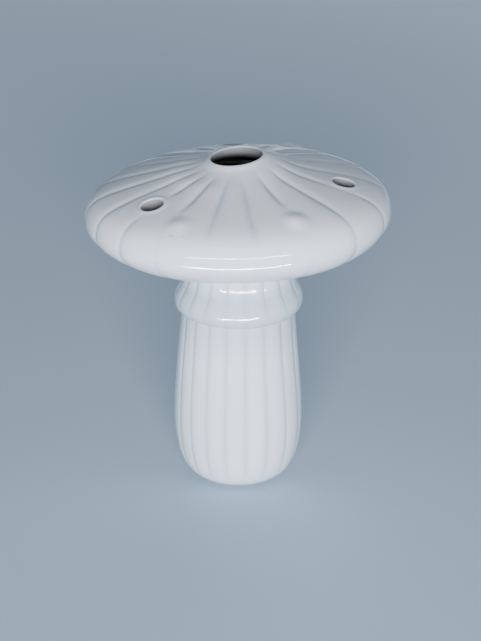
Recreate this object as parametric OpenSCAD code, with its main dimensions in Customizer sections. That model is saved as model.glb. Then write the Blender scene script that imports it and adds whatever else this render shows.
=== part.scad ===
// Mushroom flower frog in white glazed ceramic: a hollow lobed cap with one large and three small
// flower holes, luted to a hollow fluted stem that has a collar band and a closed, footed bottom.
// The origin is the centre of the foot on the table, +Z up, and -Y faces the front.

/* [Cap] */
// Radius of the cap at its widest, the rim
cap_r = 55.9; // [50:0.1:60]
// Height of the rim, where the two halves of the cap meet
rim_z = 104.8; // [100:0.1:112]
// Rise of the dome from the rim to the big hole
dome_h = 21.7; // [18:0.1:26]
// Fall of the dome per millimetre of radius, beside the big hole
dome_slope = 0.39; // [0.3:0.01:0.45]
// Depth of the underside below the rim
under_h = 11.7; // [9:0.1:14]
// Lean of the cap to the left, in degrees, from being luted on by hand
cap_lean = 1.6; // [0:0.1:3]
// Thickness of the ceramic wall
wall = 4.2; // [3:0.1:5]

/* [Holes and dots] */
// Radius of the big hole in the crown
crown_hole_r = 9.1; // [8:0.1:11]
// Radius of each small flower hole
stem_hole_r = 4.3; // [3:0.1:5]
// Distance of the small holes from the axis of the cap
stem_hole_at = 38.9; // [34:0.1:42]
// Width of the raised dots on the cap
dot_d = 11; // [8:0.5:14]
// Height of the raised dots
dot_h = 2.2; // [1:0.1:3]

/* [Lobes] */
// Number of lobes round the cap, and of flutes round the stem
lobe_count = 18; // [12:1:24]
// Depth of the creases between the lobes of the cap
cap_crease = 0.9; // [0:0.1:1.5]
// Depth of the grooves between the flutes of the stem
stem_crease = 0.6; // [0:0.1:1.2]
// Unevenness of the hand-cut creases, in degrees
crease_wander = 8; // [0:1:10]

/* [Stem] */
// Radius of the foot on the table
foot_r = 12.2; // [10:0.1:15]
// Radius of the belly of the stem
belly_r = 24; // [22:0.1:26]
// Height of the belly
belly_z = 25.3; // [22:0.1:30]
// Radius of the throat, at the top of the stem under the collar band
throat_r = 21.1; // [20:0.1:22]
// Height of the underside of the collar band
band_z = 67.4; // [64:0.1:70]
// Height of the collar band
band_h = 11.4; // [9:0.1:12]
// How far the collar band stands out from the throat
band_out = 2.7; // [1.5:0.1:3]
// Radius of the neck at its waist
waist_r = 18.8; // [18:0.1:20]
// Radius of the water way through the neck
neck_bore_r = 14.5; // [12:0.1:14.5]

/* [Hidden] */

glaze_white = [0.93, 0.94, 0.95];
bare_clay = [0.87, 0.84, 0.79];
slip_white = [0.90, 0.89, 0.86];
round_fn = 96;
past = 2;               // how far a cutter runs past the wall that it opens

// Places on the cap: degrees from +X, counted towards the back, and distance from its axis
stem_hole_angles = [350, 93, 219];
dot_left = [243, 0.82 * cap_r];
dot_right = [297, 0.795 * cap_r];
dot_back = [66, 0.835 * cap_r];
dot_seat = 1.6;         // depth of the scored seat that a dot is pressed into

// The joint of neck and cap: the neck goes up through a round hole and stands just proud inside
under_hollow = 2;       // how far the underside rises again from its lowest ring to the neck
socket_r = waist_r + 0.9;
neck_z = band_z + band_h;
under_mid_z = rim_z - under_h + under_hollow;
neck_h = under_mid_z - neck_z;
neck_top_z = under_mid_z + wall + 0.9;

// The hollow and the foot of the stem
barrel_bore_r = throat_r - wall;
floor_z = 5.2;
foot_h = 1.2;
foot_wide = 3;

// ---- Curves and lobes ----

// Point at share t of a cubic curve from p[0] to p[3], pulled by p[1] and p[2]
function curve_at(p, t) =
    let (u = 1 - t)
        u * u * u * p[0] + 3 * u * u * t * p[1] + 3 * u * t * t * p[2] + t * t * t * p[3];

// Points along a curve, all but its last one, which the next curve starts with
function curve(p, steps) = [for (i = [0 : steps - 1]) curve_at(p, i / steps)];

// Share t at which a curve that runs inward reaches radius r, found by halving
function curve_find(p, r, low = 0, high = 1, left = 24) =
    let (mid = (low + high) / 2)
        left == 0 ? mid
        : curve_at(p, mid)[0] > r ? curve_find(p, r, mid, high, left - 1)
        : curve_find(p, r, low, mid, left - 1);

// Angle of a crease: evenly spaced, then pulled a few degrees round
function crease_angle(i) =
    let (even = 5 + i * 360 / lobe_count) even + crease_wander * sin(even - 16);

// Places across one lobe from crease to crease, and the share of the crease depth there
lobe_places = [0, 0.1, 0.28, 0.5, 0.72, 0.9];
function crease_share(t) = pow(abs(2 * t - 1), 4);
lobe_ring = [
    for (i = [0 : lobe_count - 1]) for (t = lobe_places)
        [(1 - t) * crease_angle(i) + t * crease_angle(i + 1), crease_share(t)]
];

// Direction a crease is cut against at profile point j: square to the profile, but level at its ends
function outward(p, j) =
    j == 0 || j == len(p) - 1 ? [1, 0]
    : let (d = p[j + 1] - p[j - 1]) [d[1], -d[0]] / norm(d);

// Solid turned from a profile of [radius, height, crease depth] points, from bottom to top
module lobed_solid(profile) {
    n = len(lobe_ring);
    m = len(profile);
    line = [for (p = profile) [p[0], p[1]]];
    rings = [
        for (j = [0 : m - 1]) for (place = lobe_ring)
            let (p = line[j] - outward(line, j) * profile[j][2] * place[1])
                [p[0] * cos(place[0]), p[0] * sin(place[0]), p[1]]
    ];
    centres = [[0, 0, line[0][1]], [0, 0, line[m - 1][1]]];
    sides = [
        for (j = [0 : m - 2]) for (k = [0 : n - 1])
            let (a = j * n + k, b = j * n + (k + 1) % n) each [[a, a + n, b + n], [a, b + n, b]]
    ];
    bottom = [for (k = [0 : n - 1]) [m * n, k, (k + 1) % n]];
    top = [for (k = [0 : n - 1]) [m * n + 1, (m - 1) * n + (k + 1) % n, (m - 1) * n + k]];
    polyhedron(points = concat(rings, centres), faces = concat(sides, bottom, top), convexity = 6);
}

// Profile points with a crease depth that goes evenly from the first value to the last
function creased(points, first, last) = [
    for (i = [0 : len(points) - 1])
        let (t = i / (len(points) - 1))
            [points[i][0], points[i][1], (1 - t) * first + t * last]
];

// ---- Cap, drawn in its own frame: the rim is at height 0 ----

module cap_frame() {
    translate([0, 0, rim_z]) rotate([0, -cap_lean, 0]) children();
}

// Outside of the dome, from the rim in to the crown
crown_r = crown_hole_r + 0.5;
crown_pull = 29;
dome_curve = [
    [cap_r, 0], [cap_r, 0.61 * dome_h],
    [crown_r + crown_pull, dome_h - dome_slope * crown_pull], [crown_r, dome_h]
];

// Outside of the underside, from its lowest ring out to the rim
under_low_r = 0.645 * cap_r;
under_curve = [
    [under_low_r, -under_h], [0.84 * cap_r, -under_h], [cap_r, -0.45 * under_h], [cap_r, 0]
];

// Inside of the same two, one wall thickness in
inner_dome_curve = [
    [cap_r - wall, 0], [cap_r - wall, 0.53 * dome_h],
    [crown_r + crown_pull - 1, dome_h - dome_slope * crown_pull - wall - 0.6],
    [crown_r, dome_h - wall]
];
inner_under_curve = [
    [under_low_r, wall - under_h], [0.8 * cap_r, wall - under_h],
    [cap_r - wall, -0.3 * under_h], [cap_r - wall, 0]
];

// The floor of the hollow is level round the neck, and falls away from there
cap_floor = under_hollow + wall - under_h;
floor_edge_r = socket_r + 2.6;
module cap_hollow() {
    rotate_extrude($fn = round_fn) polygon(concat(
        [[0, cap_floor], [floor_edge_r, cap_floor]],
        curve(inner_under_curve, 8),
        curve(inner_dome_curve, 10),
        [[crown_r, dome_h - wall], [0, dome_h - wall]]
    ));
}

// Puts its children on the dome at angle a and radius r, with their +Z square to the surface
function dome_height(r) = curve_at(dome_curve, curve_find(dome_curve, r))[1];
function dome_lean(r) = atan2(dome_height(r - 1) - dome_height(r + 1), 2);
module on_dome(a, r) {
    rotate([0, 0, a]) translate([r, 0, dome_height(r)]) rotate([0, dome_lean(r), 0]) children();
}

// Upper half of the cap, with the flower holes and the seats of the dots
module cap_dome() {
    color(glaze_white) cap_frame() difference() {
        lobed_solid(concat(
            creased(curve(dome_curve, 10), cap_crease, 0.25 * cap_crease),
            [[crown_r, dome_h, 0], [crown_r - 2, dome_h + 0.3, 0]]
        ));
        cap_hollow();
        translate([0, 0, dome_h - wall - past])
            cylinder(r = crown_hole_r, h = wall + 2 * past, $fn = round_fn);
        for (a = stem_hole_angles) on_dome(a, stem_hole_at)
            translate([0, 0, -wall - past])
                cylinder(r = stem_hole_r, h = wall + 2 * past, $fn = round_fn);
        for (place = [dot_left, dot_right, dot_back]) on_dome(place[0], place[1])
            translate([0, 0, -dot_seat])
                cylinder(d = dot_d, h = dot_seat + past, $fn = round_fn);
    }
}

// Lower half of the cap, with the round hole for the neck
module cap_underside() {
    color(glaze_white) difference() {
        cap_frame() difference() {
            lobed_solid(concat(
                [[socket_r + 1, under_hollow - under_h, 0]],
                creased(curve(under_curve, 9), 0, cap_crease),
                [[cap_r, 0, cap_crease]]
            ));
            cap_hollow();
        }
        translate([0, 0, neck_z]) cylinder(r = socket_r, h = rim_z - neck_z, $fn = round_fn);
    }
}

// A raised dot: a round plug in its seat, with a low domed head
module cap_dot(place) {
    head_r = (dot_d * dot_d / 4 + dot_h * dot_h) / (2 * dot_h);
    color(glaze_white) cap_frame() on_dome(place[0], place[1]) union() {
        translate([0, 0, -dot_seat]) cylinder(d = dot_d, h = dot_seat, $fn = round_fn);
        intersection() {
            translate([0, 0, dot_h - head_r]) sphere(r = head_r, $fn = round_fn);
            cylinder(d = dot_d, h = dot_h + 1, $fn = round_fn);
        }
    }
}

// ---- Stem ----

// Short tapered neck from the collar band up through the underside of the cap
module neck() {
    color(glaze_white) difference() {
        lobed_solid(concat(
            creased(curve([
                [throat_r, neck_z], [throat_r - 0.9, neck_z + 0.26 * neck_h],
                [waist_r, neck_z + 0.43 * neck_h], [waist_r, neck_z + 0.73 * neck_h]
            ], 5), stem_crease, stem_crease),
            [
                [waist_r, neck_z + 0.73 * neck_h, stem_crease],
                [socket_r, under_mid_z - 0.9, 0], [socket_r, neck_top_z, 0]
            ]
        ));
        translate([0, 0, neck_z - past])
            cylinder(r = neck_bore_r, h = neck_top_z - neck_z + 2 * past, $fn = round_fn);
    }
}

// Flared band round the top of the stem, the skirt of the mushroom
module collar_band() {
    skirt_r = throat_r + band_out;
    skirt_z = band_z + 0.4 * band_h;
    color(glaze_white) difference() {
        rotate_extrude($fn = round_fn) polygon(concat(
            [[0, band_z]],
            curve([
                [throat_r - 0.6, band_z], [throat_r + 0.5 * band_out, band_z],
                [skirt_r, band_z + 0.16 * band_h], [skirt_r, skirt_z]
            ], 6),
            curve([
                [skirt_r, skirt_z], [skirt_r, skirt_z + 0.24 * band_h],
                [throat_r + 0.4 * band_out, neck_z - 0.2 * band_h], [throat_r, neck_z]
            ], 6),
            [[throat_r, neck_z], [0, neck_z]]
        ));
        translate([0, 0, band_z - past])
            cylinder(r = barrel_bore_r, h = band_h + 2 * past, $fn = round_fn);
    }
}

// The hollow in the stem, from its floor up to the throat
module stem_hollow() {
    rotate_extrude($fn = round_fn) polygon(concat(
        [[0, floor_z]],
        curve([
            [foot_r - 4, floor_z], [foot_r + 5, floor_z],
            [belly_r - wall, floor_z + 6], [belly_r - wall, belly_z]
        ], 8),
        curve([
            [belly_r - wall, belly_z], [belly_r - wall, belly_z + 10],
            [barrel_bore_r + 0.8, band_z - 16], [barrel_bore_r, band_z]
        ], 6),
        [[barrel_bore_r, band_z], [barrel_bore_r, band_z + 1], [0, band_z + 1]]
    ));
}

// Fluted stem with its closed, rounded bottom
module stem() {
    color(glaze_white) difference() {
        lobed_solid(concat(
            creased(curve([
                [foot_r, foot_h], [foot_r + 9, foot_h + 0.2],
                [belly_r, foot_h + 11.8], [belly_r, belly_z]
            ], 8), 0, stem_crease),
            creased(curve([
                [belly_r, belly_z], [belly_r, belly_z + 10],
                [throat_r + 0.8, band_z - 16], [throat_r, band_z]
            ], 6), stem_crease, stem_crease),
            [[throat_r, band_z, stem_crease]]
        ));
        stem_hollow();
        translate([0, 0, foot_h - past])
            cylinder(r = foot_r - foot_wide - 0.6, h = past + 0.8, $fn = round_fn);
    }
}

// Bare ring that the frog stands on
module foot_ring() {
    color(bare_clay) rotate_extrude($fn = round_fn) polygon([
        [foot_r - foot_wide, 0], [foot_r - 0.7, 0], [foot_r, 0.5], [foot_r, foot_h],
        [foot_r - foot_wide - 0.6, foot_h], [foot_r - foot_wide - 0.6, 0.5]
    ]);
}

// ---- Slip pressed into the joints from inside ----

// Bead in the joint of the two halves of the cap
module rim_slip_seam() {
    color(slip_white) cap_frame() intersection() {
        cap_hollow();
        rotate_extrude($fn = round_fn) polygon([
            [cap_r, -3], [cap_r - wall - 1.2, -3], [cap_r - wall - 2, -1],
            [cap_r - wall - 2, 1], [cap_r - wall - 1.2, 3], [cap_r, 3]
        ]);
    }
}

// Fillet round the top of the neck, on the level floor of the cap
module neck_slip_seam() {
    color(slip_white) cap_frame() rotate_extrude($fn = round_fn) polygon([
        [socket_r + 0.2, cap_floor], [socket_r + 2.4, cap_floor], [socket_r + 0.2, cap_floor + 0.35]
    ]);
}

// Fillet under the step where the neck sits on the wider bore of the collar band
module band_slip_seam() {
    color(slip_white) rotate_extrude($fn = round_fn)
        polygon([[barrel_bore_r, neck_z], [neck_bore_r + 0.2, neck_z], [barrel_bore_r, neck_z - 2.4]]);
}

cap_dome();
cap_underside();
cap_dot(dot_left);  // cap_dot_left
cap_dot(dot_right);  // cap_dot_right
cap_dot(dot_back);  // cap_dot_back
neck();
collar_band();
stem();
foot_ring();
rim_slip_seam();
neck_slip_seam();
band_slip_seam();
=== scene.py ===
"""Mushroom flower frog: a white glazed, slip-cast mushroom that holds cut flowers.

The file builds it in the order in which the potter does: the stem on its foot, the collar band and
the neck, the two halves of the cap, the dots, and the slip inside the joints. Lengths are in
millimetres until a mesh is made. -Y is the front, and the origin is the middle of the foot.
"""
import math
from functools import partial

import bmesh
import bpy
import numpy as np
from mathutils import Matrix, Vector


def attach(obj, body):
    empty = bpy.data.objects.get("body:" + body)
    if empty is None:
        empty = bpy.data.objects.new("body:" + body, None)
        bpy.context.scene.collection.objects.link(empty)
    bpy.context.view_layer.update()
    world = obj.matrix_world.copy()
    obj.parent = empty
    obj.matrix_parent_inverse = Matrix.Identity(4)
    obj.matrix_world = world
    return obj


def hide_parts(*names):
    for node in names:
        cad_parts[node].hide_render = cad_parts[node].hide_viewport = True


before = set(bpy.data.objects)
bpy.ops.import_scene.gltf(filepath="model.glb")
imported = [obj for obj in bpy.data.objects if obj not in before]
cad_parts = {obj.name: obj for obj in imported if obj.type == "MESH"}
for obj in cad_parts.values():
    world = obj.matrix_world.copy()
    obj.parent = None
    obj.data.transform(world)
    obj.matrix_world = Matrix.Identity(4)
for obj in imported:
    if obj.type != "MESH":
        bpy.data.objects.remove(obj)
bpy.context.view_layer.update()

# ---- Stem ---------------------------------------------------------------------------------------
# The stem is slip-cast white earthenware, hollow and closed at the bottom, with soft flutes from its
# throat to its foot. It was dipped in clear glaze, which is thicker and cooler in the flutes.

LOBES = 18
COLUMNS_PER_LOBE = 20
FOOT_R = 12.2
FOOT_H = 1.2
FOOT_INNER_R = 8.6
BELLY_R = 24.0
BELLY_Z = 25.3
THROAT_R = 21.1
BAND_Z = 67.4
WALL = 4.2
STEM_BORE_R = THROAT_R - WALL
BORE_R = BELLY_R - WALL
FLOOR_Z = 5.2
RECESS_Z = 2.0
FLUTE_DEEP = 0.32
CREASE_W = 1.3  # how far the narrow part of a crease reaches to each side


def linear(hex_colour):
    """sRGB hex to linear RGBA: c / 12.92 up to 0.04045, and ((c + 0.055) / 1.055) ** 2.4 above."""
    srgb = np.array([int(hex_colour[i:i + 2], 16) / 255 for i in (1, 3, 5)])
    channels = np.where(srgb <= 0.04045, srgb / 12.92, ((srgb + 0.055) / 1.055) ** 2.4)
    return (*channels, 1.0)


def add_node(material, kind, settings=None, inputs=None, links=None):
    """Adds a node: settings are its attributes, inputs its socket values, links {input: socket}."""
    tree = material.node_tree
    node = tree.nodes.new(kind)
    for name, value in (settings or {}).items():
        setattr(node, name, value)
    for name, value in (inputs or {}).items():
        node.inputs[name].default_value = value
    for name, socket in (links or {}).items():
        tree.links.new(socket, node.inputs[name])
    return node


def new_material(name):
    """An empty node material."""
    material = bpy.data.materials.new(name)
    material.use_nodes = True
    material.node_tree.nodes.clear()
    return material


def smooth(x, low, high):
    """Smooth step: 3t^2 - 2t^3 of t = (x - low) / (high - low), held between 0 and 1."""
    t = np.clip((x - low) / (high - low), 0.0, 1.0)
    return t * t * (3.0 - 2.0 * t)


def bezier(points, count):
    """Cubic Bezier curve: (1-t)^3 a + 3(1-t)^2 t b + 3(1-t) t^2 c + t^3 d, at count values of t."""
    t = np.linspace(0.0, 1.0, count)[:, None]
    a, b, c, d = np.asarray(points, float)
    return (1 - t) ** 3 * a + 3 * (1 - t) ** 2 * t * b + 3 * (1 - t) * t * t * c + t ** 3 * d


def even_spacing(profile, step):
    """The same line with its points a step apart along its length, ends kept."""
    profile = np.asarray(profile, float)
    run = np.r_[0.0, np.cumsum(np.hypot(*np.diff(profile, axis=0).T))]
    at = np.linspace(0.0, run[-1], max(2, int(round(run[-1] / step)) + 1))
    return np.stack([np.interp(at, run, profile[:, 0]), np.interp(at, run, profile[:, 1])], axis=1)


def side_normals(profile):
    """Unit normals of a profile of (radius, height), on its right-hand side as it climbs."""
    step = np.gradient(profile, axis=0)
    normal = np.stack([step[:, 1], -step[:, 0]], axis=1)
    return normal / np.maximum(np.linalg.norm(normal, axis=1), 1e-9)[:, None]


# Creases are 20 degrees apart on average, pulled up to 8 degrees round by 8 sin(angle - 16). Each
# lobe's columns crowd towards its creases: share t = s - 0.7 sin(2 pi s) / (2 pi).
even_angles = 5.0 + 360.0 / LOBES * np.arange(LOBES + 1)
crease_angles = even_angles + 8.0 * np.sin(np.radians(even_angles - 16.0))
column_s = np.arange(COLUMNS_PER_LOBE) / COLUMNS_PER_LOBE
column_t = column_s - 0.7 * np.sin(2 * np.pi * column_s) / (2 * np.pi)
COLUMNS = np.radians(
    (crease_angles[:-1, None] * (1 - column_t) + crease_angles[1:, None] * column_t).ravel()
)


def lobe_share(angle):
    """Place across a lobe, from 0 at one crease to 1 at the next, and the lobe's width in radians."""
    degrees = (np.degrees(angle) - crease_angles[0]) % 360.0 + crease_angles[0]
    index = np.clip(np.searchsorted(crease_angles, degrees, side="right") - 1, 0, LOBES - 1)
    width = crease_angles[index + 1] - crease_angles[index]
    return (degrees - crease_angles[index]) / width, np.radians(width)


def hand_wobble(points):
    """Unevenness of hand-finished clay: three slow sine waves across space, 0.1 mm each."""
    x, y, z = np.moveaxis(points, -1, 0)
    return 0.1 * (
        np.sin(0.081 * x + 0.043 * y + 0.052 * z + 1.3)
        + np.sin(-0.057 * x + 0.092 * y + 0.071 * z + 4.1)
        + np.sin(0.038 * x - 0.066 * y + 0.118 * z + 2.2)
    )


def turned(profile, deep=0.0, wobble=1.0, narrow=0.2):
    """Rings of points from a profile of (radius, height) turned round Z.

    Each point is pushed in along the profile's normal by deep times the crease shape. The shape
    is |2t - 1|^3 across a lobe, mixed with a narrow share of exp(-(distance / CREASE_W)^2) from
    the crease. The second result is how deep the glaze lies there: twice the push, in millimetres.
    """
    profile = np.asarray(profile, float)
    normal = side_normals(profile)
    t, width = lobe_share(COLUMNS)
    pillow = np.abs(2 * t - 1) ** 3
    off = np.minimum(t, 1 - t)[None, :] * width[None, :] * profile[:, :1]
    shape = (1 - narrow) * pillow[None, :] + narrow * np.exp(-((off / CREASE_W) ** 2))
    depth = np.asarray(deep, float)
    depth = (depth[:, None] if depth.ndim == 1 else depth) + np.zeros_like(off)
    radius = profile[:, :1] + np.zeros_like(off)
    height = profile[:, 1:] + np.zeros_like(off)
    points = np.stack([radius * np.cos(COLUMNS), radius * np.sin(COLUMNS), height], axis=-1)
    push = wobble * hand_wobble(points) - depth * shape
    outward = np.stack(
        [
            normal[:, :1] * np.cos(COLUMNS),
            normal[:, :1] * np.sin(COLUMNS),
            normal[:, 1:] + np.zeros_like(off),
        ],
        axis=-1,
    )
    return points + outward * push[..., None], 2.0 * depth * shape


def grid_quads(rows, columns, wrap_rows=False, keep=None):
    """Corner numbers of the quads of a grid of rows by columns, closed round its columns."""
    last = rows if wrap_rows else rows - 1
    i, j = np.meshgrid(np.arange(last), np.arange(columns), indexing="ij")
    after, beside = (i + 1) % rows, (j + 1) % columns
    quads = np.stack(
        [i * columns + j, i * columns + beside, after * columns + beside, after * columns + j],
        axis=-1,
    )
    return quads[keep] if keep is not None else quads.reshape(-1, 4)


def piece_from(name, parts, sharp=38.0):
    """One closed mesh from parts of (points, quads, cool tint, inside darkness).

    Points that coincide within a thousandth of a millimetre become one, a quad that loses a corner
    becomes a triangle, and the faces are turned outwards. The cool tint is glaze depth plus painted
    shade under the cap, and the inside darkness is painted shade; both run from 0 to 1.
    """
    points, quads, pool_and_shade, inside_shade, start = [], [], [], [], 0
    for part_points, part_quads, part_pool_and_shade, part_inside_shade in parts:
        flat = part_points.reshape(-1, 3)
        points.append(flat)
        quads.append(part_quads.reshape(-1, 4) + start)
        pool_and_shade.append(np.broadcast_to(part_pool_and_shade, part_points.shape[:-1]).reshape(-1))
        inside_shade.append(np.broadcast_to(part_inside_shade, part_points.shape[:-1]).reshape(-1))
        start += len(flat)
    points, quads = np.concatenate(points), np.concatenate(quads)
    pool_and_shade, inside_shade = np.concatenate(pool_and_shade), np.concatenate(inside_shade)
    key = np.round(points / 0.001).astype(np.int64)
    _, first, merged = np.unique(key, axis=0, return_index=True, return_inverse=True)
    points, pool_and_shade, inside_shade = points[first], pool_and_shade[first], inside_shade[first]
    quads = merged.reshape(-1)[quads]
    same = quads == np.roll(quads, -1, axis=1)
    whole = quads[same.sum(axis=1) == 0]
    cut, gone = quads[same.sum(axis=1) == 1], same[same.sum(axis=1) == 1]
    order = (np.argmax(gone, axis=1)[:, None] + np.array([1, 2, 3])) % 4
    triangles = np.take_along_axis(cut, order, axis=1)
    mesh = bpy.data.meshes.new(name)
    mesh.from_pydata((points / 1000.0).tolist(), [], whole.tolist() + triangles.tolist())
    shell = bmesh.new()
    shell.from_mesh(mesh)
    bmesh.ops.recalc_face_normals(shell, faces=shell.faces)
    shell.to_mesh(mesh)
    shell.free()
    for attribute_name, values in (("pool_and_shade", pool_and_shade), ("inside_shade", inside_shade)):
        attribute = mesh.attributes.new(attribute_name, "FLOAT", "POINT")
        attribute.data.foreach_set("value", np.clip(values, 0.0, 1.0).astype(np.float32))
    mesh.polygons.foreach_set("use_smooth", np.ones(len(mesh.polygons), bool))
    mesh.set_sharp_from_angle(angle=math.radians(sharp))
    mesh.update()
    piece = bpy.data.objects.new(name, mesh)
    bpy.context.collection.objects.link(piece)
    return piece


def per_metre(size_mm):
    """Scale of a noise or cell pattern whose features are size_mm across: 1000 / size_mm."""
    return 1000.0 / size_mm


def glaze_material():
    """Clear glaze over white earthenware, dipped: bright and even, cooler where it lies deep.

    Its skin has a faint ripple 9 mm across, an orange peel 1.6 mm across, and rare iron specks.
    A tint attribute makes it cooler where glaze lies deep and as painted shade under the cap. A
    second attribute paints the hollow inside near black, as painted shade, and makes it matt.
    """
    material = new_material("clear_glaze_on_white_earthenware")
    place = add_node(material, "ShaderNodeTexCoord").outputs["Object"]
    cloud = add_node(
        material,
        "ShaderNodeTexNoise",
        None,
        {"Scale": per_metre(29.4), "Detail": 3.0},
        {"Vector": place},
    )
    clay = add_node(
        material, "ShaderNodeMix", {"data_type": "RGBA"}, None, {"Factor": cloud.outputs["Fac"]}
    )
    clay.inputs["A"].default_value = linear("#E2EAF4")
    clay.inputs["B"].default_value = linear("#EAF0FA")
    pool_and_shade = add_node(material, "ShaderNodeAttribute", {"attribute_name": "pool_and_shade"})
    pool_and_shade_share = add_node(
        material, "ShaderNodeMath", {"operation": "MULTIPLY"}, None, {0: pool_and_shade.outputs["Fac"]}
    )
    pool_and_shade_share.inputs[1].default_value = 0.9
    pooled_and_shaded = add_node(
        material,
        "ShaderNodeMix",
        {"data_type": "RGBA"},
        None,
        {"Factor": pool_and_shade_share.outputs[0], "A": clay.outputs["Result"]},
    )
    # Cool tint: glaze pooled in creases and flutes, and painted shade of the cap on the upper stem,
    # skirt and neck
    pooled_and_shaded.inputs["B"].default_value = linear("#B4C6D8")
    # One 4 mm cell of space in about twelve holds a speck 0.35 mm across; few of them meet the skin
    cells = add_node(
        material, "ShaderNodeTexVoronoi", None, {"Scale": per_metre(4.0)}, {"Vector": place}
    )
    near = add_node(
        material,
        "ShaderNodeMapRange",
        None,
        {"From Min": 0.03, "From Max": 0.06, "To Min": 1.0, "To Max": 0.0},
        {"Value": cells.outputs["Distance"]},
    )
    chance = add_node(material, "ShaderNodeSeparateColor", None, None, {0: cells.outputs["Color"]})
    rare = add_node(
        material,
        "ShaderNodeMapRange",
        None,
        {"From Min": 0.91, "From Max": 0.93},
        {"Value": chance.outputs["Red"]},
    )
    speck = add_node(
        material,
        "ShaderNodeMath",
        {"operation": "MULTIPLY"},
        None,
        {0: near.outputs["Result"], 1: rare.outputs["Result"]},
    )
    colour = add_node(
        material,
        "ShaderNodeMix",
        {"data_type": "RGBA"},
        None,
        {"Factor": speck.outputs[0], "A": pooled_and_shaded.outputs["Result"]},
    )
    colour.inputs["B"].default_value = linear("#8C8275")
    # Painted shade: the inside attribute mixes the glaze to near black (#0E0E0E) and makes it matt
    inside_shade = add_node(material, "ShaderNodeAttribute", {"attribute_name": "inside_shade"})
    inside = add_node(
        material,
        "ShaderNodeMix",
        {"data_type": "RGBA"},
        None,
        {"Factor": inside_shade.outputs["Fac"], "A": colour.outputs["Result"]},
    )
    inside.inputs["B"].default_value = linear("#0E0E0E")
    dull = add_node(
        material,
        "ShaderNodeMapRange",
        None,
        {"To Min": 0.07, "To Max": 0.8},
        {"Value": inside_shade.outputs["Fac"]},
    )
    ripple = add_node(
        material,
        "ShaderNodeTexNoise",
        None,
        {"Scale": per_metre(9.09), "Detail": 1.0},
        {"Vector": place},
    )
    peel = add_node(
        material,
        "ShaderNodeTexNoise",
        None,
        {"Scale": per_metre(1.613), "Detail": 2.0},
        {"Vector": place},
    )
    slow_bump = add_node(
        material,
        "ShaderNodeBump",
        None,
        {"Strength": 0.5, "Distance": 0.0002},
        {"Height": ripple.outputs["Fac"]},
    )
    fine_bump = add_node(
        material,
        "ShaderNodeBump",
        None,
        {"Strength": 0.12, "Distance": 0.00004},
        {"Height": peel.outputs["Fac"], "Normal": slow_bump.outputs["Normal"]},
    )
    shader = add_node(
        material,
        "ShaderNodeBsdfPrincipled",
        None,
        {"IOR": 1.52},
        {
            "Base Color": inside.outputs["Result"],
            "Roughness": dull.outputs["Result"],
            "Normal": fine_bump.outputs["Normal"],
        },
    )
    add_node(material, "ShaderNodeOutputMaterial", None, None, {"Surface": shader.outputs[0]})
    return material


glaze = glaze_material()

stem_outside = np.concatenate(
    [
        even_spacing(
            bezier([(FOOT_R, FOOT_H), (21.2, 1.4), (BELLY_R, 13.0), (BELLY_R, BELLY_Z)], 200), 0.8
        ),
        even_spacing(
            bezier([(BELLY_R, BELLY_Z), (BELLY_R, 35.3), (21.9, 51.4), (THROAT_R, BAND_Z)], 200), 1.2
        )[1:],
    ]
)
stem_flutes = FLUTE_DEEP * smooth(stem_outside[:, 1], 2.0, 12.0)
stem_inside = np.concatenate(
    [
        even_spacing([(STEM_BORE_R, BAND_Z), (17.7, 51.4), (19.6, 36.0), (BORE_R, BELLY_Z)], 2.4),
        even_spacing(
            bezier([(BORE_R, BELLY_Z), (BORE_R, 11.2), (17.2, FLOOR_Z), (8.2, FLOOR_Z)], 100), 1.6
        )[1:],
        [(4.0, FLOOR_Z), (0.0, FLOOR_Z)],
    ]
)
recess = [
    (0.0, RECESS_Z), (4.0, RECESS_Z), (7.6, RECESS_Z), (8.2, 1.85), (8.5, 1.5), (FOOT_INNER_R, FOOT_H)
]
under, under_pool = turned(recess, wobble=0.0)
stem_wobble = smooth(stem_outside[:, 1:], 3.0, 9.0)
outside, outside_pool = turned(stem_outside, stem_flutes, wobble=stem_wobble)
inside, inside_pool = turned(stem_inside, wobble=0.0)
stem_points = np.concatenate([under, outside, inside])
# Painted shade: the upper stem, under the skirt and cap, is tinted cooler and darker from 50 mm
# up to the band
shade = 0.6 * smooth(stem_outside[:, 1:], 50.0, BAND_Z)
stem_pool_and_shade = np.concatenate([under_pool, outside_pool + shade, inside_pool])
# Painted shade: the stem's hollow inside is painted near black
stem_inside_shade = np.r_[np.zeros(len(under) + len(outside)), np.ones(len(inside))][:, None]
stem = piece_from(
    "stem_skin",
    [(stem_points, grid_quads(len(stem_points), len(COLUMNS)), stem_pool_and_shade, stem_inside_shade)],
)
stem.data.materials.append(glaze)
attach(stem, "root")
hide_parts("stem")

# ---- Foot ring ----------------------------------------------------------------------------------
# The stem stands on a low ring whose glaze was wiped off before firing, so that it doesn't stick to
# the kiln shelf. The bare earthenware is matt, warm and a little gritty.


def corner(centre, radius, start, end, count=6):
    """Round corner of a profile: centre + radius (cos a, sin a), a from start to end in degrees."""
    a = np.radians(np.linspace(start, end, count))
    return np.asarray(centre) + radius * np.stack([np.cos(a), np.sin(a)], axis=1)


foot_profile = np.concatenate(
    [
        corner((11.7, 0.5), 0.5, -90, 0),
        [(FOOT_R, 0.9), (FOOT_R, FOOT_H), (10.4, FOOT_H), (FOOT_INNER_R, FOOT_H), (FOOT_INNER_R, 0.8)],
        corner((9.1, 0.5), 0.5, 180, 270),
        [(10.4, 0.0)],
    ]
)
foot_points, foot_pool = turned(foot_profile, wobble=0.0)
foot = piece_from(
    "foot_ring_skin",
    [(foot_points, grid_quads(len(foot_profile), len(COLUMNS), True), foot_pool, 0.0)],
)


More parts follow.
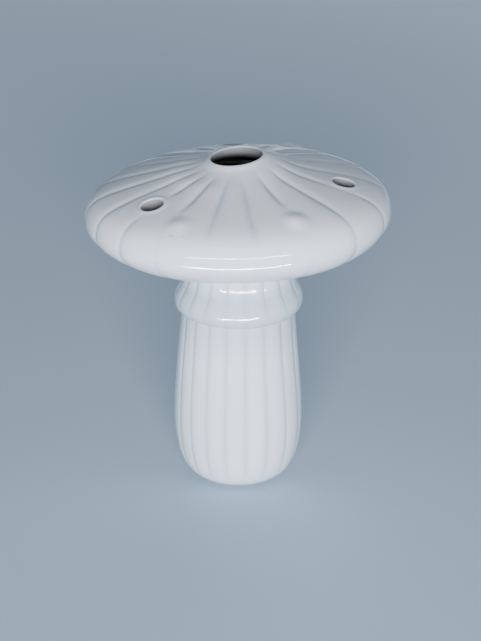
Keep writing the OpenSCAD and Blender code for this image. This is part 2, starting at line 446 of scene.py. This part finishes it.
def clay_material(name, light, dark, grit_mm, grit_height):
    """Bare fired clay: colour clouds 8 mm across, and grit that both darkens and roughens it.

    grit_mm is how wide a grain is, and grit_height how far it stands out, in metres.
    """
    material = new_material(name)
    place = add_node(material, "ShaderNodeTexCoord").outputs["Object"]
    cloud = add_node(
        material,
        "ShaderNodeTexNoise",
        None,
        {"Scale": per_metre(8.0), "Detail": 4.0},
        {"Vector": place},
    )
    grit = add_node(
        material,
        "ShaderNodeTexNoise",
        None,
        {"Scale": per_metre(grit_mm), "Detail": 6.0},
        {"Vector": place},
    )
    blend = add_node(
        material,
        "ShaderNodeMath",
        {"operation": "MULTIPLY"},
        None,
        {0: cloud.outputs["Fac"], 1: grit.outputs["Fac"]},
    )
    shade = add_node(
        material,
        "ShaderNodeMapRange",
        None,
        {"From Min": 0.15, "From Max": 0.4},
        {"Value": blend.outputs[0]},
    )
    colour = add_node(
        material, "ShaderNodeMix", {"data_type": "RGBA"}, None, {"Factor": shade.outputs["Result"]}
    )
    colour.inputs["A"].default_value = linear(dark)
    colour.inputs["B"].default_value = linear(light)
    bump = add_node(
        material,
        "ShaderNodeBump",
        None,
        {"Strength": 0.8, "Distance": grit_height},
        {"Height": grit.outputs["Fac"]},
    )
    shader = add_node(
        material,
        "ShaderNodeBsdfPrincipled",
        None,
        {"Roughness": 0.85, "IOR": 1.5},
        {"Base Color": colour.outputs["Result"], "Normal": bump.outputs["Normal"]},
    )
    add_node(material, "ShaderNodeOutputMaterial", None, None, {"Surface": shader.outputs[0]})
    return material


foot.data.materials.append(
    clay_material("bare_earthenware_wiped", "#D9CFC0", "#B9AB98", 0.385, 0.00012)
)
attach(foot, "root")
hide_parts("foot_ring")

# ---- Collar band --------------------------------------------------------------------------------
# A flared band of clay runs round the top of the stem like the skirt of a mushroom. It was luted on
# with slip and smoothed with a wet finger, so the flutes of the neck run out over it.

BAND_TOP = 78.8
SKIRT_R = 23.8
SKIRT_Z = 72.0
band_outside = np.concatenate(
    [
        [(18.0, BAND_Z), (19.5, BAND_Z)],
        even_spacing(
            bezier([(20.5, BAND_Z), (22.4, BAND_Z), (SKIRT_R, 69.2), (SKIRT_R, SKIRT_Z)], 100), 0.4
        ),
        even_spacing(
            bezier([(SKIRT_R, SKIRT_Z), (SKIRT_R, 74.7), (22.2, 76.5), (20.95, BAND_TOP)], 100),
            0.4,
        )[1:],
        [(19.0, BAND_TOP), (STEM_BORE_R, BAND_TOP), (STEM_BORE_R, 75.0), (STEM_BORE_R, 71.0)],
        [(STEM_BORE_R, BAND_Z)],
    ]
)
on_skirt = smooth(band_outside[:, 0], 20.4, THROAT_R)
# The wet finger left the flutes 0.1 mm deep at the skirt's edge
skirt_flutes = 0.1 + (FLUTE_DEEP - 0.1) * smooth(band_outside[:, 1], 70.0, BAND_TOP)
band_points, band_pool_and_shade = turned(band_outside, on_skirt * skirt_flutes, wobble=on_skirt[:, None])
# Painted shade: the whole skirt, under the cap, is tinted cooler and darker, a little more towards its
# top
skirt_shade = 0.72 + 0.1 * smooth(band_outside[:, 1:], SKIRT_Z, 77.0)
band_pool_and_shade = band_pool_and_shade + skirt_shade * on_skirt[:, None]
# Painted shade: the band's bore is painted near black
band_inside_shade = np.where(band_outside[:, :1] < STEM_BORE_R + 0.6, 1.0, 0.0)
band = piece_from(
    "collar_band_skin",
    [(band_points, grid_quads(len(band_outside), len(COLUMNS), True), band_pool_and_shade, band_inside_shade)],
)
band.data.materials.append(glaze)
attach(band, "root")
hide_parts("collar_band")

# ---- Neck ---------------------------------------------------------------------------------------
# Above the band the fluted stem goes on as a short neck, which narrows and then spreads again into
# the cap. It goes up through a round hole in the cap, where it was luted in with slip.

NECK_TOP = 100.2
NECK_R = 18.8
NECK_WAIST_Z = 90.7
SPREAD_Z = 94.3
SOCKET_R = 19.7
NECK_BORE_R = 14.5
# The neck starts 0.15 mm below the band's top, so that no slit shows between them
neck_outside = np.concatenate(
    [
        even_spacing(
            bezier([(21.15, 78.65), (20.2, 81.2), (19.0, 85.0), (NECK_R, NECK_WAIST_Z)], 100), 0.7
        ),
        even_spacing(
            bezier([(NECK_R, NECK_WAIST_Z), (18.74, 92.4), (18.9, 93.8), (SOCKET_R, SPREAD_Z)], 100),
            0.4,
        )[1:],
        [(SOCKET_R, 95.4), (SOCKET_R, 97.6), (SOCKET_R, 99.7), (19.3, NECK_TOP)],
        [(17.0, NECK_TOP), (14.9, NECK_TOP), (NECK_BORE_R, 99.8)],
        [(NECK_BORE_R, z) for z in (97.0, 93.0, 89.0, 84.0, BAND_TOP)],
    ]
)
on_neck = (neck_outside[:, 0] > 18.0) * (1 - smooth(neck_outside[:, 1], 90.5, SPREAD_Z))
neck_points, neck_pool_and_shade = turned(neck_outside, FLUTE_DEEP * on_neck, wobble=on_neck[:, None])
# Painted shade: the neck's foot, under the cap, is tinted cooler and darker, fading to a quarter by 84
# mm
neck_pool_and_shade = neck_pool_and_shade + 0.65 * (1 - 0.75 * smooth(neck_outside[:, 1:], BAND_TOP, 84.0))
# Painted shade: the neck's bore and its top inside the cap are painted near black
neck_inside_shade = np.where((neck_outside[:, :1] < 18.0) | (neck_outside[:, 1:] > 96.0), 1.0, 0.0)
neck = piece_from(
    "neck_skin",
    [(neck_points, grid_quads(len(neck_outside), len(COLUMNS), True), neck_pool_and_shade, neck_inside_shade)],
)
neck.data.materials.append(glaze)
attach(neck, "root")
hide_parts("neck")

# ---- Underside of the cap -----------------------------------------------------------------------
# The lower half of the cap is a shallow ring-shaped dish with the hole for the neck in its middle.
# It is luted to the upper half round the rim, and the cap leans 1.6 degrees to the left.

CAP_R = 55.9
RIM_Z = 104.8
LEAN = math.radians(1.6)
UNDER_H = 11.7
DISH_R = 36.0
LIP_R = 22.6
LIP_Z = -9.75
RIM_STEP = 0.12  # from the rim joint to the first ring above and below it
CAP_CREASE = 0.62
CREASE_NARROW = 0.5
LINING_R = CAP_R - WALL
LINING_Z = WALL - UNDER_H
SHELF_Z = -5.5  # the level floor round the neck, inside the cap
lean_matrix = np.array(
    [
        [math.cos(LEAN), 0.0, -math.sin(LEAN)],
        [0.0, 1.0, 0.0],
        [math.sin(LEAN), 0.0, math.cos(LEAN)],
    ]
)


def on_stem(points):
    """Points of the cap's own frame leaned to the left and lifted to the rim's height.

    Below the rim the right side also sags, by 0.15 mm + 0.011 x, as the underside sank in drying.
    """
    sunk = points.copy()
    sunk[..., 2] -= (0.15 + 0.011 * points[..., 0]) * smooth(-points[..., 2], 0.0, 9.0)
    return sunk @ lean_matrix.T + np.array([0.0, 0.0, RIM_Z])


def crease_left(angle, radius):
    """Share of a cap crease that is left: none at the crown, 0.6 at the rim, 0.1 at its front."""
    front = smooth(-np.sin(angle), 0.7, 0.95)
    return smooth(radius, 12.0, 26.0) * (1 - (0.4 + 0.5 * front) * smooth(radius, 42.0, 54.0))


under_outside = np.concatenate(
    [
        even_spacing(
            bezier([(CAP_R, 0.0), (CAP_R, -5.3), (47.0, -UNDER_H), (DISH_R, -UNDER_H)], 400), 0.7
        ),
        even_spacing(
            bezier([(DISH_R, -UNDER_H), (30.5, -UNDER_H), (26.0, -9.8), (LIP_R, LIP_Z)], 100), 1.0
        )[1:],
    ]
)
under_outside = np.concatenate([[under_outside[0], (CAP_R, -RIM_STEP)], under_outside[1:]])
# The creases of the dome run over the rim and die away below it
rim_fade = smooth(under_outside[:, 0], 40.0, 54.0) * smooth(under_outside[:, 1], -UNDER_H, -6.0)
rim_depth = CAP_CREASE * rim_fade[:, None] * crease_left(COLUMNS, under_outside[:, :1])
under_points, under_pool = turned(under_outside[::-1], rim_depth[::-1], narrow=CREASE_NARROW)
under_points = on_stem(under_points)
# The hole for the neck is upright; its lower edge meets the spread neck in a slip fillet
hole_points, _ = turned([(SOCKET_R, 97.6), (SOCKET_R, 95.4), (SOCKET_R, 94.35)], wobble=0.0)
fillet_share = np.linspace(0.0, 1.0, 7)[1:-1, None, None]
fillet = (1 - fillet_share) * hole_points[-1] + fillet_share * under_points[0]
fillet[..., 2] += (0.45 * np.sin(np.pi * fillet_share))[..., 0]
inner_under = np.concatenate(
    [
        even_spacing(
            bezier([(LINING_R, 0.0), (LINING_R, -3.5), (44.7, LINING_Z), (DISH_R, LINING_Z)], 200), 1.6
        ),
        even_spacing(
            [(DISH_R, LINING_Z), (SOCKET_R + 2.6, SHELF_Z), (SOCKET_R + 0.5, SHELF_Z)], 3.0
        )[1:],
    ]
)
inner_points, _ = turned(inner_under, wobble=0.0)
inner_points = on_stem(inner_points)
hole_top = hole_points[:1].copy()
hole_top[..., 2] = RIM_Z + (SHELF_Z - 0.05 + math.sin(LEAN) * hole_top[..., 0]) / math.cos(LEAN)
under_rings = np.concatenate([hole_top, hole_points, fillet, under_points, inner_points])
first_under = 1 + len(hole_points) + len(fillet)
under_depth = np.zeros(under_rings.shape[:2])
under_depth[first_under:first_under + len(under_points)] = under_pool
# Painted shade: the top of the neck hole and the cap's inside lining are painted near black
under_inside_shade = np.zeros(under_rings.shape[:2])
under_inside_shade[:2] = 1.0
under_inside_shade[first_under + len(under_points):] = 1.0
underside = piece_from(
    "cap_underside_skin",
    [(under_rings, grid_quads(len(under_rings), len(COLUMNS), True), under_depth, under_inside_shade)],
)
underside.data.materials.append(glaze)
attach(underside, "root")
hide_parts("cap_underside")

# ---- Dome of the cap ----------------------------------------------------------------------------
# The upper half of the cap is a hollow dome with creases from the crown to the rim. The crown hole
# and three stem holes were cut by hand and their lips wiped round; dots sit in three scored seats.

CROWN_HOLE_R = 9.1
STEM_HOLE_R = 4.1
STEM_HOLE_AT = 38.9
STEM_HOLE_ANGLES = (350.0, 93.0, 219.0)
CROWN_ROLL = 0.9  # radii of the rolled lips
HOLE_ROLL = 0.4
HOLE_SHIFT = 3.8  # how far through the wall a stem hole's lower edge is found
DOT_R = 5.5
DOT_SPREAD = 6.8
SEAT_DEEP = 1.6
DOTS = ((243.0, 45.8, 0.7), (297.0, 45.2, 1.0), (66.0, 46.7, 1.2))  # angle, radius, height
GRID_R = 50.6
# Half-widths of the blocks that are cut out of the grid for a patch round a hole or a dot
HOLE_BLOCK = 8.6
DOT_BLOCK = 8.0
DOME_H = 21.7
DOME_PULL = 13.24

dome_line = bezier(
    [(CAP_R, 0.0), (CAP_R, DOME_PULL), (38.6, 10.39), (CROWN_HOLE_R + 0.5, DOME_H)], 4000
)
inner_line = bezier(
    [(LINING_R, 0.0), (LINING_R, 11.5), (37.6, 5.59), (CROWN_HOLE_R + 0.5, DOME_H - WALL)], 4000
)
dome_normal = side_normals(dome_line)


def crown_tilt(x, y):
    """The crown hole was cut aslant: its lip rises 5 degrees to the right and 2 to the back."""
    radius = np.hypot(x, y)
    return (0.085 * x + 0.035 * y) * (1 - smooth(radius, 10.5, 24.0))


def crown_lip(radius):
    """Height of the wiped lip round the crown hole: 0.3 mm times exp(-((r - 10.5) / 1.5)^2)."""
    return 0.3 * np.exp(-(((radius - 10.5) / 1.5) ** 2))


def dome_surface(x, y, share=None):
    """Outside of the dome above the plan point (x, y), or at a share of its curve from the rim.

    The curve's point at radius r is turned to the angle of (x, y). The crease shape, the dots and
    the hand's unevenness then move it along its normal, and the crown's tilt and lip upwards. A
    dot is its height times (1 - (distance / DOT_SPREAD)^2)^3. Creases fade out near dots and holes.
    """
    angle, radius = np.arctan2(y, x), np.hypot(x, y)
    if share is None:
        share = np.interp(radius, dome_line[::-1, 0], np.linspace(1.0, 0.0, len(dome_line)))
    at = share * (len(dome_line) - 1)
    index = np.clip(at.astype(int), 0, len(dome_line) - 2)
    part = (at - index)[..., None]
    line = dome_line[index] * (1 - part) + dome_line[index + 1] * part
    normal = dome_normal[index] * (1 - part) + dome_normal[index + 1] * part
    t, width = lobe_share(angle)
    off = np.minimum(t, 1 - t) * width * line[..., 0]
    pillow = np.abs(2 * t - 1) ** 3
    shape = (1 - CREASE_NARROW) * pillow + CREASE_NARROW * np.exp(-((off / CREASE_W) ** 2))
    depth = CAP_CREASE * crease_left(angle, line[..., 0]) * shape
    lump = np.zeros_like(depth)
    for dot_angle, dot_at, dot_h in DOTS:
        a = math.radians(dot_angle)
        gap = np.hypot(x - dot_at * math.cos(a), y - dot_at * math.sin(a))
        depth = depth * smooth(gap, 4.5, 16.0)
        lump = lump + dot_h * np.clip(1 - (gap / DOT_SPREAD) ** 2, 0.0, 1.0) ** 3
    for hole_angle in STEM_HOLE_ANGLES:
        a = math.radians(hole_angle)
        gap = np.hypot(x - STEM_HOLE_AT * math.cos(a), y - STEM_HOLE_AT * math.sin(a))
        depth = depth * smooth(gap, 5.0, 13.0)
    points = np.stack(
        [line[..., 0] * np.cos(angle), line[..., 0] * np.sin(angle), line[..., 1]], axis=-1
    )
    outward = np.stack(
        [normal[..., 0] * np.cos(angle), normal[..., 0] * np.sin(angle), normal[..., 1]], axis=-1
    )
    points = points + outward * (lump - depth + hand_wobble(points))[..., None]
    points[..., 2] += crown_tilt(x, y) + crown_lip(radius)
    return points, depth


def dome_lining(x, y):
    """Inside of the dome above the plan point (x, y): the inner curve, smooth all round."""
    height = np.interp(np.hypot(x, y), inner_line[::-1, 0], inner_line[::-1, 1])
    return np.stack([x, y, height], axis=-1)


# Rings of the main grid, from the crown out: plan radii up to GRID_R are shared by both surfaces
plan_radii = np.r_[
    np.linspace(CROWN_HOLE_R + CROWN_ROLL, 15.0, 12), np.linspace(15.0, GRID_R, 52)[1:]
]
column_x, column_y = np.cos(COLUMNS), np.sin(COLUMNS)
plan_x, plan_y = plan_radii[:, None] * column_x, plan_radii[:, None] * column_y
top_points, top_pool = dome_surface(plan_x, plan_y)
low_points = dome_lining(plan_x, plan_y)

# The outer rim, from GRID_R to the joint, by share of the curve, which starts off upwards at three
# times DOME_PULL. Its last two rings match those of the underside.
rim_line = dome_line[dome_line[:, 0] > GRID_R][::-1]
rim_run = even_spacing(rim_line, 0.5)
rim_share = np.interp(rim_run[:, 1], dome_line[:, 1], np.linspace(0.0, 1.0, len(dome_line)))
rim_share = np.r_[rim_share[1:-1], RIM_STEP / (3 * DOME_PULL), 0.0][:, None] + np.zeros_like(COLUMNS)
rim_x, rim_y = CAP_R * column_x + 0 * rim_share, CAP_R * column_y + 0 * rim_share
rim_points, rim_pool = dome_surface(rim_x, rim_y, rim_share)
inner_rim_line = even_spacing(inner_line[inner_line[:, 0] > GRID_R][::-1], 1.2)[1:]
inner_rim, _ = turned(inner_rim_line, wobble=0.0)

# The crown hole: its lip rolls over into the bore, which flares again at the bottom
roll = np.radians(np.linspace(0, 90, 8))[1:, None]
lip_r = CROWN_HOLE_R + CROWN_ROLL * (1 - np.sin(roll))
lip_top, _ = dome_surface(lip_r * column_x, lip_r * column_y)
lip_top[..., 2] -= CROWN_ROLL * (1 - np.cos(roll))
lip_low, _ = turned(
    [
        (CROWN_HOLE_R, 20.2), (CROWN_HOLE_R, 19.6), (CROWN_HOLE_R + 0.1, 19.0),
        (CROWN_HOLE_R + 0.35, 18.4), (CROWN_HOLE_R + 0.8, 17.8),
    ],
    wobble=0.0,
)

shell_rings = np.concatenate([lip_low[::-1], lip_top[::-1], top_points, rim_points])
shell_pool = np.concatenate(
    [np.zeros((len(lip_low) + len(lip_top), len(COLUMNS))), top_pool, rim_pool]
)
# Painted shade: the wall of the crown hole darkens down to near black at its lower edge
shell_inside_shade = np.zeros(len(shell_rings))
wall_rings = len(lip_low) + len(lip_top) - 1
shell_inside_shade[:wall_rings] = np.linspace(1.0, 0.0, wall_rings) ** 0.42
lining_rings = np.concatenate([lip_low[-1:], low_points, inner_rim])
joint_rings = np.stack([rim_points[-1], inner_rim[-1]])


def plan_centre(angle, radius):
    """Plan point at an angle in degrees and a radius, with the dome's slope there and its axes."""
    a = math.radians(angle)
    near = np.interp([radius - 1, radius + 1], dome_line[::-1, 0], dome_line[::-1, 1])
    slope = math.atan2(near[0] - near[1], 2.0)
    outward = np.array([math.cos(a), math.sin(a)])
    normal = np.array([outward[0] * math.sin(slope), outward[1] * math.sin(slope), math.cos(slope)])
    return radius * outward, slope, outward, normal


def block_round(centre, half_width):
    """Rows and columns of the main grid within half_width of a plan point, and their outline."""
    radius = np.hypot(*centre)
    rows = np.flatnonzero(np.abs(plan_radii - radius) < half_width)
    turn = np.angle(np.exp(1j * (COLUMNS - math.atan2(centre[1], centre[0])))) * radius
    within = np.flatnonzero(np.abs(turn) < half_width)
    columns = within[np.argsort(turn[within])]
    outline = np.concatenate(
        [
            np.stack([np.full(len(columns) - 1, rows[0]), columns[:-1]], axis=1),
            np.stack([rows[:-1], np.full(len(rows) - 1, columns[-1])], axis=1),
            np.stack([np.full(len(columns) - 1, rows[-1]), columns[:0:-1]], axis=1),
            np.stack([rows[:0:-1], np.full(len(rows) - 1, columns[0])], axis=1),
        ]
    )
    return rows, columns, outline


def circle_plan(centre, slope, outward, angles, distance):
    """Plan points on a circle that lies square to the dome's normal, seen from straight above."""
    along = distance * np.cos(angles) * math.cos(slope)
    across = distance * np.sin(angles)
    x = centre[0] + along * outward[0] - across * outward[1]
    y = centre[1] + along * outward[1] + across * outward[0]
    return x, y


def patch_angles(outline, centre, slope, outward):
    """Angle of each outline point round the circle's centre, and its plan point."""
    x, y = plan_x[outline[:, 0], outline[:, 1]], plan_y[outline[:, 0], outline[:, 1]]
    dx, dy = x - centre[0], y - centre[1]
    along = (dx * outward[0] + dy * outward[1]) / math.cos(slope)
    across = dy * outward[0] - dx * outward[1]
    return np.arctan2(across, along), x, y


def spread(outline, surface, edge_points, x0, y0, circle, start_at, count):
    """Rings from the block's outline to a circle, evenly spaced in plan and laid on a surface.

    Point by point they are (1 - share) outline + share circle; the first keeps the grid's points.
    """
    x1, y1 = circle(start_at)
    share = np.linspace(0.0, 1.0, count)[:, None]
    laid = surface((1 - share) * x0 + share * x1, (1 - share) * y0 + share * y1)
    laid[0] = edge_points[outline[:, 0], outline[:, 1]]
    return laid


# Quads of the main grid that are kept: a patch takes the place of those round a hole or a dot
keep_shell = np.ones((len(shell_rings) - 1, len(COLUMNS)), bool)
keep_lining = np.ones((len(lining_rings) - 1, len(COLUMNS)), bool)
top_row = len(lip_low) + len(lip_top)
dome_parts = []


def top_surface(x, y):
    """Only the points of the dome's outside."""
    return dome_surface(x, y)[0]


def hole_lip(distance):
    """Height of the wiped lip of a stem hole: 0.25 exp(-((d - STEM_HOLE_R - 0.9) / 0.9)^2)."""
    return 0.25 * math.exp(-(((distance - STEM_HOLE_R - 0.9) / 0.9) ** 2))


for hole_angle in STEM_HOLE_ANGLES:
    centre, slope, outward, normal = plan_centre(hole_angle, STEM_HOLE_AT)
    rows, columns, outline = block_round(centre, HOLE_BLOCK)
    keep_shell[np.ix_(top_row + rows[:-1], columns[:-1])] = False
    keep_lining[np.ix_(1 + rows[:-1], columns[:-1])] = False
    angles, x0, y0 = patch_angles(outline, centre, slope, outward)
    circle = partial(circle_plan, centre, slope, outward, angles)
    # The hole runs square to the dome, so it comes out of the lining nearer the crown
    low_centre = centre - HOLE_SHIFT * normal[:2]
    low_circle = partial(circle_plan, low_centre, slope, outward, angles)
    outer = spread(outline, top_surface, top_points, x0, y0, circle, STEM_HOLE_R + 3.2, 7)
    lip, roll_over, burr = [], [], []
    # The lip rolls over into the hole; inside, the cutter left a burr 1.8 mm deep
    for d in np.linspace(STEM_HOLE_R + 2.9, STEM_HOLE_R + HOLE_ROLL, 9):
        lip.append(top_surface(*circle(d)) + hole_lip(d) * normal)
    for a in np.radians(np.linspace(0, 90, 6))[1:]:
        d = STEM_HOLE_R + HOLE_ROLL * (1 - math.sin(a))
        drop = HOLE_ROLL * (1 - math.cos(a))
        roll_over.append(top_surface(*circle(d)) + (hole_lip(d) - drop) * normal)
    for wider, deeper in ((0.0, 1.2), (0.1, 1.6), (0.5, 1.8), (0.9, 1.5), (1.2, 0.8), (1.6, 0.1)):
        burr.append(dome_lining(*low_circle(STEM_HOLE_R + wider)) - deeper * normal)
    low = spread(outline, dome_lining, low_points, x0, y0, low_circle, STEM_HOLE_R + 2.0, 8)[::-1]
    rings = np.concatenate([outer, lip, roll_over, burr, low])
    # Painted shade: inside each stem hole the roll-over darkens, and the burr and lining are near
    # black
    inside_shade = np.concatenate(
        [
            np.zeros(len(outer) + len(lip)),
            np.linspace(0.0, 0.65, len(roll_over)),
            np.linspace(0.8, 1.0, len(burr)),
            np.ones(len(low)),
        ]
    )
    dome_parts.append((rings, grid_quads(len(rings), len(outline)), 0.0, inside_shade[:, None]))

dot_rings = []
for dot_angle, dot_at, _ in DOTS:
    centre, slope, outward, normal = plan_centre(dot_angle, dot_at)
    rows, columns, outline = block_round(centre, DOT_BLOCK)
    keep_shell[np.ix_(top_row + rows[:-1], columns[:-1])] = False
    angles, x0, y0 = patch_angles(outline, centre, slope, outward)
    circle = partial(circle_plan, centre, slope, outward, angles)
    outer = spread(outline, top_surface, top_points, x0, y0, circle, DOT_R + 0.8, 6)
    near = np.array([top_surface(*circle(d)) for d in (DOT_R + 0.4, DOT_R + 0.1, DOT_R)])
    base = np.array([*centre, np.interp(dot_at, dome_line[::-1, 0], dome_line[::-1, 1])])
    # The seat is a flat floor, square to the dome's normal and SEAT_DEEP below it
    level = []
    for d in (DOT_R, 0.6 * DOT_R, 0.0):
        x, y = circle(d)
        drop = (x - base[0]) * normal[0] + (y - base[1]) * normal[1]
        level.append(np.stack([x, y, base[2] - drop / normal[2]], axis=-1) - SEAT_DEEP * normal)
    rings = np.concatenate([outer, near, level])
    dome_parts.append((rings, grid_quads(len(rings), len(outline)), 0.0, 0.0))
    head = np.array([top_surface(*circle(d)) for d in (*np.linspace(0.0, 4.8, 9), 5.2, 5.4)])
    dot_rings.append(np.concatenate([head, near[-1:], level]))

shell_quads = grid_quads(len(shell_rings), len(COLUMNS), keep=keep_shell)
lining_quads = grid_quads(len(lining_rings), len(COLUMNS), keep=keep_lining)
# Painted shade: the dome's lining and the rim joint inside are painted near black
dome_parts += [
    (shell_rings, shell_quads, shell_pool, shell_inside_shade[:, None]),
    (lining_rings, lining_quads, 0.0, 1.0),
    (joint_rings, grid_quads(2, len(COLUMNS)), 0.0, 1.0),
]
dome = piece_from("cap_dome_skin", [(on_stem(part[0]), *part[1:]) for part in dome_parts])
dome.data.materials.append(glaze)
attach(dome, "root")
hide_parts("cap_dome")

# ---- Dots ---------------------------------------------------------------------------------------
# Three low round dots stand on the cap like the warts of a mushroom. Each is a plug of clay pressed
# into a scored seat, with its edge smoothed into the dome under the same glaze.

for node_name, rings in zip(("cap_dot_left", "cap_dot_right", "cap_dot_back"), dot_rings):
    quads = grid_quads(rings.shape[0], rings.shape[1])
    dot = piece_from(node_name + "_skin", [(on_stem(rings), quads, 0.0, 0.0)])
    dot.data.materials.append(glaze)
    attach(dot, "root")
    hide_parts(node_name)

# ---- Slip in the joints -------------------------------------------------------------------------
# Inside each joint the potter pressed soft slip and smeared it with a finger or a brush handle. It
# dried as a lumpy bead, and stays matt where the glaze didn't reach.

SLIP_LUMP = 0.484
SLIP_SHRINK = 0.15
RIM_BEAD = 2.6
ON_SHELF = SHELF_Z + 0.02
slip = clay_material("joining_slip_fired", "#DAD3C8", "#B8AEA0", 1.11, 0.0003)


def lumpy(profile, seed, fixed):
    """A bead turned from a closed profile; its free side swells and shrinks round the ring.

    The swelling is SLIP_LUMP times the mean of 12 sine waves of random phase, with 5 to 39 lumps
    round the ring, less SLIP_SHRINK for the water that the slip lost.
    """
    random = np.random.default_rng(seed)
    lumps = random.integers(5, 40, 12)[:, None]
    phases = random.uniform(0, math.tau, 12)[:, None]
    swell = SLIP_LUMP * np.sin(lumps * COLUMNS + phases).mean(axis=0) - SLIP_SHRINK
    points, _ = turned(profile, wobble=0.0)
    middle = points.mean(axis=0, keepdims=True)
    free = 1.0 - np.asarray(fixed, float)[:, None, None]
    return points + (points - middle) * free * swell[None, :, None]


def slip_bead(name, profile, fixed, seed, place=None):
    """A finished slip seam: fixed marks the profile points that touch the joint's walls."""
    rings = lumpy(profile, seed, fixed)
    rings = rings if place is None else place(rings)
    quads = grid_quads(len(rings), len(COLUMNS), True)
    bead = piece_from(name + "_skin", [(rings, quads, 0.0, 0.0)], sharp=50.0)
    bead.data.materials.append(slip)
    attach(bead, "root")
    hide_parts(name)


above_joint = inner_rim_line[-2::-1]
rim_wall = np.concatenate(
    [inner_under[inner_under[:, 1] > -RIM_BEAD][::-1], above_joint[above_joint[:, 1] < RIM_BEAD]]
)
rim_free = [(50.9, 2.4), (50.2, 1.4), (50.0, 0.0), (50.2, -1.3), (50.7, -2.3)]
slip_bead(
    "rim_slip_seam",
    np.concatenate([rim_wall, rim_free]),
    [1] * len(rim_wall) + [0] * len(rim_free),
    3,
    on_stem,
)
slip_bead(
    "neck_slip_seam",
    [(19.9, ON_SHELF), (21.0, ON_SHELF), (22.1, ON_SHELF), (21.3, -5.3), (20.6, -5.2), (19.9, -5.1)],
    [1, 1, 1, 0, 0, 1],
    5,
    on_stem,
)
slip_bead(
    "band_slip_seam",
    [
        (STEM_BORE_R, 76.4), (STEM_BORE_R, BAND_TOP), (14.9, BAND_TOP),
        (15.4, 78.2), (16.0, 77.5), (16.5, 76.9),
    ],
    [1, 1, 1, 0, 0, 0],
    7,
)

# ---- Floor, light and camera --------------------------------------------------------------------
# A pale matt table top, an even pale room, a strip light and a low glow in the gloss, a soft fill in
# front and a weaker one behind.

bpy.ops.mesh.primitive_plane_add(size=8.0)
floor = bpy.context.object
floor.name = "table_top"
paper = new_material("pale_table_paper")
paper_place = add_node(paper, "ShaderNodeTexCoord").outputs["Object"]
paper_noise = add_node(
    paper,
    "ShaderNodeTexNoise",
    None,
    {"Scale": per_metre(1.11), "Detail": 3.0},
    {"Vector": paper_place},
)
paper_colour = add_node(
    paper, "ShaderNodeMix", {"data_type": "RGBA"}, None, {"Factor": paper_noise.outputs["Fac"]}
)
paper_colour.inputs["A"].default_value = linear("#B7CBDE")
paper_colour.inputs["B"].default_value = linear("#BED1E3")
paper_shader = add_node(
    paper,
    "ShaderNodeBsdfPrincipled",
    None,
    {"Roughness": 0.9},
    {"Base Color": paper_colour.outputs["Result"]},
)
add_node(paper, "ShaderNodeOutputMaterial", None, None, {"Surface": paper_shader.outputs[0]})
floor.data.materials.append(paper)

world = bpy.data.worlds.new("pale_room")
bpy.context.scene.world = world
world.use_nodes = True
world.node_tree.nodes["Background"].inputs["Color"].default_value = linear("#BFD3E9")
world.node_tree.nodes["Background"].inputs["Strength"].default_value = 0.3


def area_light(name, place, aim, size, power, shows_in_gloss, lit_pieces=None):
    """A rectangular light at place, facing aim: it either shows in the gloss or lights the clay.

    If lit_pieces are named, the light reaches only them.
    """
    lamp = bpy.data.lights.new(name, "AREA")
    lamp.shape = "RECTANGLE"
    lamp.size, lamp.size_y = size
    lamp.energy = power
    holder = bpy.data.objects.new(name, lamp)
    bpy.context.collection.objects.link(holder)
    holder.location = place
    holder.rotation_euler = (Vector(aim) - Vector(place)).to_track_quat("-Z", "Y").to_euler()
    holder.visible_camera = False
    holder.visible_glossy = shows_in_gloss
    holder.visible_diffuse = not shows_in_gloss
    if lit_pieces:
        holder.light_linking.receiver_collection = bpy.data.collections.new(name + "_reaches")
        for piece in lit_pieces:
            holder.light_linking.receiver_collection.objects.link(piece)


# Screens keep each strip off the pieces that aren't named
area_light(
    "strip_light", (0, -1.0, 0.255), (0, 0, 0.1), (1.5, 0.022), 18.0, True, [dome, underside, neck]
)
above_stem = [dome, underside, band]
area_light(
    "table_edge_glow", (0, -0.18, 0.006), (0, -0.05, 0.1), (0.26, 0.006), 2.4, True, above_stem
)
area_light("front_fill", (0.0, -1.3, 0.28), (0.0, 0.0, 0.06), (0.55, 0.55), 37.0, False)
area_light("back_fill", (0.5, 1.5, 0.3), (0.0, 0.0, 0.05), (1.2, 0.5), 15.0, False)

# The camera stands 0.97 m away and looks down 22.5 degrees
lens = bpy.data.cameras.new("front_camera")
lens.lens = 146.0
lens.sensor_width = 36.0
lens.clip_start, lens.clip_end = 0.05, 20.0
camera = bpy.data.objects.new("front_camera", lens)
bpy.context.collection.objects.link(camera)
camera.location = (0.0008, -0.8911, 0.4312)
camera.rotation_euler = (math.radians(67.5), 0.0, 0.0)
bpy.context.scene.camera = camera
